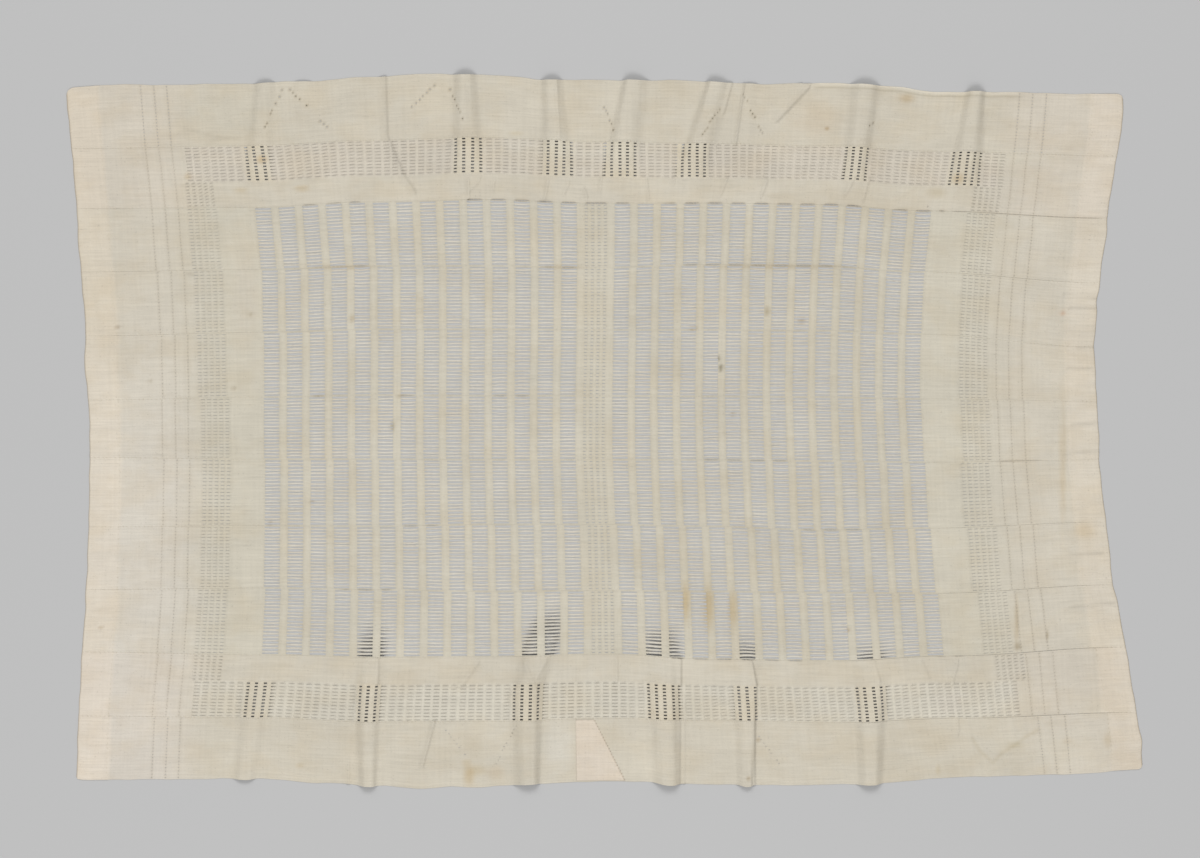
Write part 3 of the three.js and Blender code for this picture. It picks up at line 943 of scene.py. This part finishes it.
def zigzag_dots(strip):
    """Single small holes along the legs of a zigzag, each in the nearest row of slots."""
    dots = []
    for leg_strip, (x0, y0), (x1, y1) in ZIGZAG_LEGS:
        if leg_strip != strip:
            continue
        count = int(math.hypot(x1 - x0, y1 - y0) / ZIGZAG_STEP)
        for k in range(count + 1):
            x = x0 + (x1 - x0) * k / count + random.uniform(-DOT_STRAY, DOT_STRAY)
            y = y0 + (y1 - y0) * k / count
            p = np.array([woven_place(strip, x)])
            far, near = seam_y(strip, p)[0], seam_y(strip + 1, p)[0]
            row = int(np.clip((far - y) / (far - near) * SLOT_ROWS, 1, SLOT_ROWS - 2))
            half = DOT_WIDE / 2 * random.uniform(*DOT_SIZES) * (1 - DOT_RAISED_SHARE * raised(strip, p)[0])
            if random.uniform() < DOT_SHARE:
                dots.append((p[0] - half, p[0] + half, row, row + 1))
    return dots


def strip_reach(strip):
    """The highest and the lowest y of a strip."""
    return max(SEAM_Y[strip]), min(SEAM_Y[strip + 1])


def crease_zones(strip):
    """Stretches of a strip that hold a crease across it, which need closer lines."""
    zones = []
    far, near = strip_reach(strip)
    for path, _, _, _ in CREASES:
        xs, ys = zip(*path)
        steep = max(ys) - min(ys) > max(xs) - min(xs)
        if steep and min(ys) < far and max(ys) > near:
            zones.append(woven_place(strip, [min(xs) - CREASE_ROOM, max(xs) + CREASE_ROOM]))
    return zones


def stain_lines(strip):
    """Places along a strip where a small stain lies, which needs lines of its own."""
    far, near = strip_reach(strip)
    places = []
    for x, y, wide, _, _ in STAINS:
        if wide <= SMALL_STAIN and near < y < far:
            places += list(woven_place(strip, [x - wide, x, x + wide]))
    return places


def column_lines(openings, step, zones, marks):
    """Lines along a strip that hold every opening's sides, and lie closer together in the crease zones."""
    fixed = [MIDDLE]
    from_end = [0.0, FOLD_WIDE, 2 * FOLD_WIDE, HEM_WIDE - HEM_RISE, HEM_WIDE, HEM_WIDE + HEM_LINE_PAST]
    for place_in in LINE_PLACES:
        from_end += [place_in - LINE_BESIDE, place_in + LINE_BESIDE]
    for place_in in from_end:
        fixed += [place_in, STRIP_LONG - place_in]
    for start, end, _, _ in openings:
        fixed += [start, end]
    for zone in zones:
        fixed += list(zone)
    fixed = np.unique(np.round(fixed, LINE_DIGITS))
    for mark in marks:
        if np.min(np.abs(fixed - mark)) > LINE_CLEAR:
            fixed = np.sort(np.append(fixed, mark))
    lines = []
    for start, end in zip(fixed[:-1], fixed[1:]):
        close = any(start < zone[1] and end > zone[0] for zone in zones)
        parts = max(1, math.ceil((end - start) / (CREASE_STEP if close else step) - STEP_SLACK))
        lines += list(start + (end - start) * np.arange(parts) / parts)
    return np.array(lines + [STRIP_LONG])


def strip_wander(strip, p, openings, up):
    """How far a strip's lines stray: loose in the windows, and drawn together elsewhere."""
    in_window = np.zeros(len(p), dtype=bool)
    for start, end, _, _ in openings:
        if end - start > WINDOW_LEAST:
            in_window |= within(p, start, end, WINDOW_SKIRT)
    flat_pinch = FLAT_PINCHES.get(strip, FLAT_PINCH)
    open_half = SLOT_HIGH / 2 - flat_pinch
    pinch = flat_pinch + PINCH_STRAY * open_half * uneven(PINCH_CLOSE * p + PINCH_SHIFT * strip)
    pinch = np.tile(pinch, (SLOT_ROWS, 1))
    band = slice(*EYELET_BANDS.get(strip, NO_ROWS))
    pinch[band] += (RAISED_PINCH - pinch[band]) * up
    if strip in OPENWORK:
        pinch[:, np.abs(p - MIDDLE) < CENTRE_PLAIN] = CENTRE_PINCH
    return wandering(p, np.where(in_window, 0, pinch), np.where(in_window, 1, TIGHT_STRAY * open_half))


def cut_openings(p, openings):
    """The cells of a strip's grid that stay solid, and the points on the thin rungs of its windows."""
    solid = np.ones((LINES_ACROSS - 1, len(p) - 1), dtype=bool)
    thin = np.zeros((LINES_ACROSS, len(p)), dtype=bool)
    middles = (p[:-1] + p[1:]) / 2
    for start, end, first, last in openings:
        solid[FIRST_SLOT + 2 * first:FIRST_SLOT + 2 * last:2, within(middles, start, end, 0)] = False
        if end - start > WINDOW_LEAST:
            thin[FIRST_SLOT:-FIRST_SLOT, within(p, start, end, -RUNG_CLEAR)] = True
    return solid, thin


def hem_fold(p):
    """How much the turned hem adds to the cloth's thickness."""
    return HEM_FOLD * smoothstep((HEM_WIDE - end_distance(p)) / HEM_RISE)


def strip_thickness(strip, p, thin):
    """The thickness of a strip at each point of its grid."""
    thick = np.where(thin, RUNG_THICK, BAR_THICK if strip in OPENWORK else PLAIN_THICK)
    thick += hem_fold(p)
    thick -= END_THIN * np.exp(-end_distance(p) / END_THIN_REACH)
    thick[:FIRST_SLOT] += ROLL
    thick[-FIRST_SLOT:] += ROLL
    return thick


def strip_tone(strip, p, x, y, thin, up, openings):
    """The colour at each point of a strip's grid, with its stains and painted shade, and painted shade
    around the small holes of the zigzags.
    """
    tone = tone_at(np.broadcast_to(p, x.shape), x, y) * np.where(thin[..., None], RUNG_TONE, 1)
    if strip in EYELET_BANDS:
        first, last = EYELET_BANDS[strip]
        band_tone = BAND_TONES[strip] + up[:, None] * (EYELET_TONE - BAND_TONES[strip])
        in_band = smoothstep((end_distance(p) - EYELETS_FROM) / BAND_EASE)
        tint(tone[FIRST_SLOT + 2 * first:FIRST_SLOT + 2 * last], in_band, band_tone)
    for start, end, first, last in openings:
        # Painted shade around the small holes of the first strip's zigzags
        if strip == 0 and last - first == 1:
            line = FIRST_SLOT + 2 * first
            tone[line:line + 2, within(p, start, end, DOT_CLEAR)] *= DOT_SHADE_TONE
    return tone


def strip_piece(strip, openings, step, material):
    """One woven strip as a closed sheet with its real holes."""
    v = row_lines()
    if strip in OPENWORK:
        p = column_lines(openings, step, [], stain_lines(strip))
    else:
        p = column_lines(openings, step, crease_zones(strip), [])
    up = raised(strip, p)
    x, y = place(strip, p, v, strip_wander(strip, p, openings, up))
    solid, thin = cut_openings(p, openings)
    low = lift(p[None, :], x, y)
    high = low + strip_thickness(strip, p, thin)
    points, quads, flat, smooth = closed_sheet(solid, x, y, low, high)
    uv = np.stack(np.meshgrid(p, (strip + v) * STRIP_WIDE), axis=-1).reshape(-1, 2)[flat]
    tone = strip_tone(strip, p, x, y, thin, up, openings).reshape(-1, 3)[flat]
    name = f"cloth_strip_{strip + 1:02d}"
    piece = mesh_piece(name, points, quads, uv, tone, material, smooth)
    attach(piece, "root")
    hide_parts(f"strip_{strip + 1:02d}")
    return piece


def patch_piece(material):
    """The patch, a thin sheet that follows the strip below it, with its turned edge thicker."""
    share = np.linspace(0, 1, PATCH_PARTS + 1)
    down, across = np.meshgrid(share, share, indexing="ij")
    left_side = left_top + (left_bottom - left_top) * down[..., None]
    right_side = right_top + (right_bottom - right_top) * down[..., None]
    spot = left_side + (right_side - left_side) * across[..., None]
    x, y = spot[..., 0], spot[..., 1]
    rim = np.minimum(np.minimum(down, 1 - down), np.minimum(across, 1 - across)) * PATCH_PARTS
    turned = PATCH_TURN_HIGH * hump(rim - PATCH_TURN_AT, PATCH_TURN_WIDE)
    turned -= PATCH_RIM_LOW * (rim < PATCH_RIM_WIDE)
    low = top_of(woven_place(STRIPS - 1, x), x, y) + PATCH_CLEAR
    cells = np.ones((PATCH_PARTS, PATCH_PARTS), dtype=bool)
    points, quads, flat, smooth = closed_sheet(cells, x, y, low, low + PATCH_THICK + turned)
    piece = mesh_piece("cloth_patch", points, quads, spot.reshape(-1, 2)[flat], np.ones((len(points), 3)),
                       material, smooth)
    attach(piece, "root")
    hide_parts("patch")
    return piece


def stitches(name, starts, ends, bulge, material):
    """Short threads as joined closed prisms that arch from each start to its end."""
    along = ends - starts
    side = np.cross(along, UP)
    side /= np.linalg.norm(side, axis=1, keepdims=True)
    angles = np.arange(THREAD_SIDES) * 2 * math.pi / THREAD_SIDES
    rings = []
    for share, stout in zip(THREAD_SHARES, THREAD_STOUT):
        middle = starts + along * share
        middle[:, 2] += bulge * math.sin(math.pi * share)
        for angle in angles:
            rings.append(middle + THREAD * stout * (math.cos(angle) * side + math.sin(angle) * UP))
    points = np.stack(rings, axis=1)
    quads = []
    for low in range(0, len(rings) - THREAD_SIDES, THREAD_SIDES):
        high = low + THREAD_SIDES
        for k in range(THREAD_SIDES):
            after = (k + 1) % THREAD_SIDES
            quads.append((low + after, low + k, high + k, high + after))
    quads += [tuple(range(THREAD_SIDES)), tuple(range(len(rings) - 1, len(rings) - THREAD_SIDES - 1, -1))]
    quads = (np.array(quads)[None] + (np.arange(len(points)) * len(rings))[:, None, None]).reshape(-1, 4)
    points = points.reshape(-1, 3)
    piece = mesh_piece(name, points, quads, points[:, :2], np.ones((len(points), 3)), material)
    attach(piece, "root")
    return piece


def seam_stitch_ends():
    """Where the overcast stitches along the ten seams start and end."""
    starts, ends = [], []
    for seam in range(1, STRIPS):
        p = np.arange(SEAM_STITCH_FROM, STRIP_LONG - SEAM_STITCH_FROM, SEAM_STITCH_STEP)
        p = p + random.uniform(-1, 1, SEAM_STITCH_DRAWS)[:len(p)]
        x = seam_x(seam, p)
        y = seam_y(seam, p)
        z = top_of(p, x, y) + ROLL - SEAM_STITCH_SUNK + hem_fold(p)
        reach = random.uniform(*SEAM_STITCH_REACH, len(p))
        lean = random.uniform(*SEAM_STITCH_LEAN, len(p))
        starts.append(np.stack([x - lean, y + reach, z], axis=-1))
        ends.append(np.stack([x + lean, y - reach, z], axis=-1))
    return np.concatenate(starts), np.concatenate(ends)


def hem_stitch_ends():
    """Where the stitches of the hems at both ends start and end."""
    starts, ends = [], []
    count = int(STRIP_WIDE / HEM_STITCH_STEP)
    v = (np.arange(count) + 0.5) / count
    for strip in range(STRIPS):
        for hem_line in (HEM_WIDE - HEM_STITCH_IN, STRIP_LONG - HEM_WIDE + HEM_STITCH_IN):
            far, near = seam_x(strip, hem_line), seam_x(strip + 1, hem_line)
            x = far + (near - far) * v
            p = np.full(count, hem_line)
            y = strip_y(strip, p, v)
            z = top_of(p, x, y) + HEM_FOLD - HEM_STITCH_SUNK
            stray = random.uniform(-HEM_STITCH_STRAY, HEM_STITCH_STRAY, count)
            starts.append(np.stack([x, y + HEM_STITCH_HALF, z], axis=-1))
            ends.append(np.stack([x + stray, y - HEM_STITCH_HALF, z], axis=-1))
    return np.concatenate(starts), np.concatenate(ends)


def patch_stitch_ends():
    """Where the stitches along the patch's slanted side start and end."""
    span = right_bottom - right_top
    inward = np.array([span[1], -span[0]]) / np.linalg.norm(span)
    count = int(np.linalg.norm(span) / PATCH_STITCH_STEP)
    points = right_top + span * (np.arange(count)[:, None] + 0.5) / count
    both = []
    for spot, up in (
        (points - inward * PATCH_STITCH_OUT, 0),
        (points + inward * PATCH_STITCH_IN, PATCH_THICK + PATCH_STITCH_UP),
    ):
        x, y = spot.T
        z = top_of(woven_place(STRIPS - 1, x), x, y) + up
        both.append(np.stack([x, y, z], axis=-1))
    return both


def set_inputs(made, inputs):
    """Set a node's plain input values by name."""
    for key, value in inputs.items():
        made.inputs[key].default_value = value
    return made


def node(tree, kind, inputs):
    """A new shader node with its plain input values."""
    return set_inputs(tree.nodes.new(kind), inputs)


def combine(tree, kind, operation, *values):
    """The output of a math node, with inputs from other nodes, as plain values, or left as they are."""
    made = tree.nodes.new(kind)
    made.operation = operation
    for socket, value in zip(made.inputs, values):
        if isinstance(value, bpy.types.NodeSocket):
            tree.links.new(value, socket)
        elif value is not None:
            socket.default_value = value
    return made.outputs[0]


def streaks(tree, uv, along, across, low, high):
    """Uneven yarn as noise drawn out along or across the strip, from a low to a high value."""
    scaled = node(tree, "ShaderNodeMapping", {"Scale": (along, across, 1)})
    tree.links.new(uv, scaled.inputs["Vector"])
    noise = node(tree, "ShaderNodeTexNoise", STREAK_NOISE)
    noise.noise_dimensions = "2D"
    tree.links.new(scaled.outputs[0], noise.inputs["Vector"])
    limits = {"From Min": NOISE_LOW, "From Max": NOISE_HIGH, "To Min": low, "To Max": high}
    spread = node(tree, "ShaderNodeMapRange", limits)
    tree.links.new(noise.outputs[0], spread.inputs["Value"])
    return spread.outputs[0]


def yarn_shade(tree, uv):
    """The brightness of uneven yarn with dark flecks and slubs."""
    shade = 1.0
    for row in YARN_STREAKS:
        shade = combine(tree, MATH, "MULTIPLY", shade, streaks(tree, uv, *row))
    for along, across, above, dark in YARN_FLECKS:
        fleck = combine(tree, MATH, "GREATER_THAN", streaks(tree, uv, along, across, 0, 1), above)
        shade = combine(tree, MATH, "SUBTRACT", shade, combine(tree, MATH, "MULTIPLY", fleck, dark))
    return shade


def weave_relief(tree, uv, warp, weft):
    """The height of a plain weave with straying threads and uneven yarn."""
    bend = node(tree, "ShaderNodeTexNoise", BEND_NOISE)
    tree.links.new(uv, bend.inputs["Vector"])
    strayed = combine(tree, VECTOR_MATH, "MULTIPLY_ADD", bend.outputs["Color"], WEAVE_BEND, uv)
    split = tree.nodes.new("ShaderNodeSeparateXYZ")
    tree.links.new(strayed, split.inputs[0])
    threads = []
    for across, pitch in zip(split.outputs, (weft, warp)):
        turn = combine(tree, MATH, "MULTIPLY", across, 2 * math.pi / (pitch * MM))
        threads.append(combine(tree, MATH, "SINE", turn))
    height = combine(tree, MATH, "MULTIPLY", combine(tree, MATH, "MULTIPLY", *threads), WEAVE_SHARE)
    for row in RELIEF_STREAKS:
        height = combine(tree, MATH, "ADD", height, streaks(tree, uv, *row))
    return height


def cotton(name, colour, warp, weft, bump):
    """Matt cotton with uneven yarn, a plain weave in relief, blotches, specks and each point's stains and
    painted shade.
    """
    material = bpy.data.materials.new(name)
    material.use_nodes = True
    tree = material.node_tree
    shader = set_inputs(tree.nodes["Principled BSDF"], COTTON_FINISH)
    uv_node = tree.nodes.new("ShaderNodeUVMap")
    uv_node.uv_map = "weave"
    uv = uv_node.outputs[0]
    tone = tree.nodes.new("ShaderNodeAttribute")
    tone.attribute_name = "tone"
    shade = combine(tree, VECTOR_MATH, "SCALE", tone.outputs["Color"], None, None, yarn_shade(tree, uv))
    soil = tree.nodes.new("ShaderNodeMix")
    soil.data_type = "VECTOR"
    soil.inputs["A"].default_value = colour
    soil.inputs["B"].default_value = [part * left for part, left in zip(colour, SOIL_LEFT)]
    tree.links.new(streaks(tree, uv, *SOIL_STREAKS), soil.inputs["Factor"])
    tinted = combine(tree, VECTOR_MATH, "MULTIPLY", shade, soil.outputs["Result"])
    tree.links.new(tinted, shader.inputs["Base Color"])
    relief = node(tree, "ShaderNodeBump", {"Strength": bump, "Distance": WEAVE_DEEP})
    tree.links.new(weave_relief(tree, uv, warp, weft), relief.inputs["Height"])
    tree.links.new(relief.outputs[0], shader.inputs["Normal"])
    return material


def softbox(name, at):
    """A large area light that faces the middle of the cloth."""
    lamp = bpy.data.lights.new(name, "AREA")
    lamp.shape = "RECTANGLE"
    lamp.size, lamp.size_y = LIGHT_SIZE
    lamp.energy = LIGHT_POWER
    light = bpy.data.objects.new(name, lamp)
    light.location = at
    direction = -light.location
    light.rotation_euler = direction.to_track_quat("-Z", "Y").to_euler()
    bpy.context.scene.collection.objects.link(light)


# Materials: colour, pitch of the warp and weft in millimetres, and strength of the relief
plain_cotton = cotton("plain_cotton", (0.535, 0.494, 0.410), 0.9, 1.1, 0.4)
open_cotton = cotton("openwork_cotton", (0.532, 0.496, 0.410), 0.9, 1.1, 0.4)
patch_cotton = cotton("patch_cotton", (0.62, 0.55, 0.46), 0.6, 0.6, 0.4)
thread_cotton = cotton("sewing_thread", (0.59, 0.54, 0.43), 0.4, 0.5, 0.3)
patch_thread = cotton("patch_thread", (0.50, 0.42, 0.34), 0.4, 0.5, 0.3)

# The eleven strips
for strip in range(STRIPS):
    if strip in OPENWORK:
        openings = end_columns(strip, ALL_ROWS) + window_columns()
        piece = strip_piece(strip, openings, WINDOW_STEP, open_cotton)
    else:
        if strip in EYELET_BANDS:
            openings = end_columns(strip, REST_ROWS[strip]) + eyelet_columns(strip)
        else:
            openings = end_columns(strip, NO_ROWS) + zigzag_dots(strip)
        piece = strip_piece(strip, openings, FINE_STEP, plain_cotton)

# The patch and the stitches
left_top, right_top, right_bottom, left_bottom = PATCH_CORNERS
patch = patch_piece(patch_cotton)
seam_stitches = stitches("seam_stitches", *seam_stitch_ends(), SEAM_STITCH_BULGE, thread_cotton)
hem_stitches = stitches("hem_stitches", *hem_stitch_ends(), HEM_STITCH_BULGE, thread_cotton)
patch_stitches = stitches("patch_stitches", *patch_stitch_ends(), PATCH_STITCH_BULGE, patch_thread)

# A plain pale floor
floor_mesh = bpy.data.meshes.new("floor")
floor_corners = [(x * FLOOR_HALF, y * FLOOR_HALF, FLOOR_Z) for x, y in ((-1, -1), (1, -1), (1, 1), (-1, 1))]
floor_mesh.from_pydata(floor_corners, [], [(0, 1, 2, 3)])
floor = bpy.data.objects.new("floor", floor_mesh)
bpy.context.scene.collection.objects.link(floor)
floor_paint = bpy.data.materials.new("floor_paint")
floor_paint.use_nodes = True
set_inputs(floor_paint.node_tree.nodes["Principled BSDF"], FLOOR_FINISH)
floor_mesh.materials.append(floor_paint)

# Soft studio light from above, stronger from beyond the two long edges
world = bpy.data.worlds.new("studio")
bpy.context.scene.world = world
world.use_nodes = True
set_inputs(world.node_tree.nodes["Background"], SKY)
softbox("far_light", (LIGHT_X, LIGHT_Y, LIGHT_Z))
softbox("near_light", (LIGHT_X, -LIGHT_Y, LIGHT_Z))

# The camera looks straight down at the photograph's frame
camera_data = bpy.data.cameras.new("camera")
camera_data.lens = LENS
camera_data.sensor_width = SENSOR
camera = bpy.data.objects.new("camera", camera_data)
camera.location = (CAMERA_X, CAMERA_Y, FRAME_WIDE * LENS / SENSOR)
bpy.context.scene.collection.objects.link(camera)
bpy.context.scene.camera = camera
bpy.context.scene.view_settings.view_transform = "Standard"
